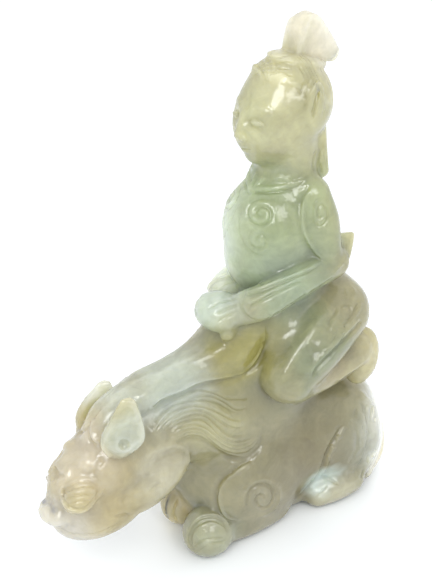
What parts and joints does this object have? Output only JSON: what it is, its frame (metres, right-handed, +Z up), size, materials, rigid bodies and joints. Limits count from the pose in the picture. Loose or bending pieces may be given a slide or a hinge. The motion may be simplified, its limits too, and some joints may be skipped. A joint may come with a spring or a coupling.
{
  "type": "jade statuette",
  "caption": "Jade carving of a robed rider with a wedge topknot kneeling astride a crouching horned beast; a cabinet ornament that stands by its own weight.",
  "frame": {"origin": "on the ground under the middle of the bounding box", "axes": "+Z up; -X is where the beast and the rider look, +X the rump; -Y is the beast's and the rider's left side, the side the picture shows"},
  "size_m": [0.098, 0.0374, 0.1232],
  "materials": {
    "jade": "polished"
  },
  "bodies": {
    "root": {"statuette": "jade"}
  },
  "joints": []
}
